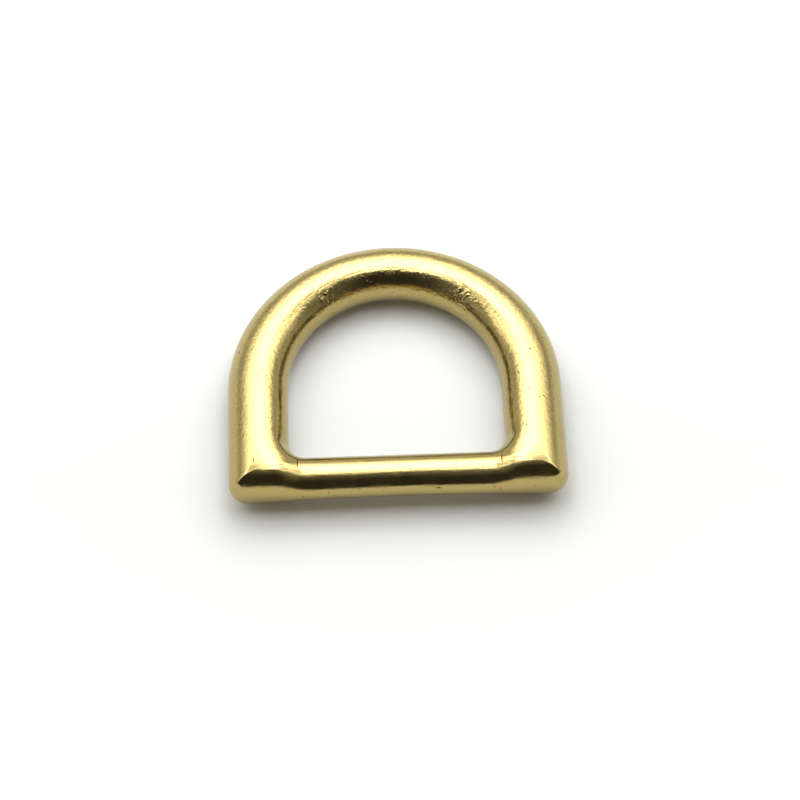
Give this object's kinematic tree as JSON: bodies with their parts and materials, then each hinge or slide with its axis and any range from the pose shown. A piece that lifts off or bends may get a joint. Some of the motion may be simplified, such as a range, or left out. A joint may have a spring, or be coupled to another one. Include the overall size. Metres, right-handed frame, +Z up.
{
  "type": "d ring",
  "caption": "Solid brass D ring lying flat: a round arch with straight legs on square-cornered feet, joined by a thinner straight bar.",
  "frame": {"origin": "under the middle of the ring's box, on the surface that it lies on", "axes": "+X along the bar, +Y from the bar to the top of the arch, +Z up through the ring's thickness"},
  "size_m": [0.025, 0.0212, 0.0045],
  "materials": {
    "brass": "tumble-polished casting"
  },
  "bodies": {
    "root": {"d_ring": "brass"}
  },
  "joints": []
}
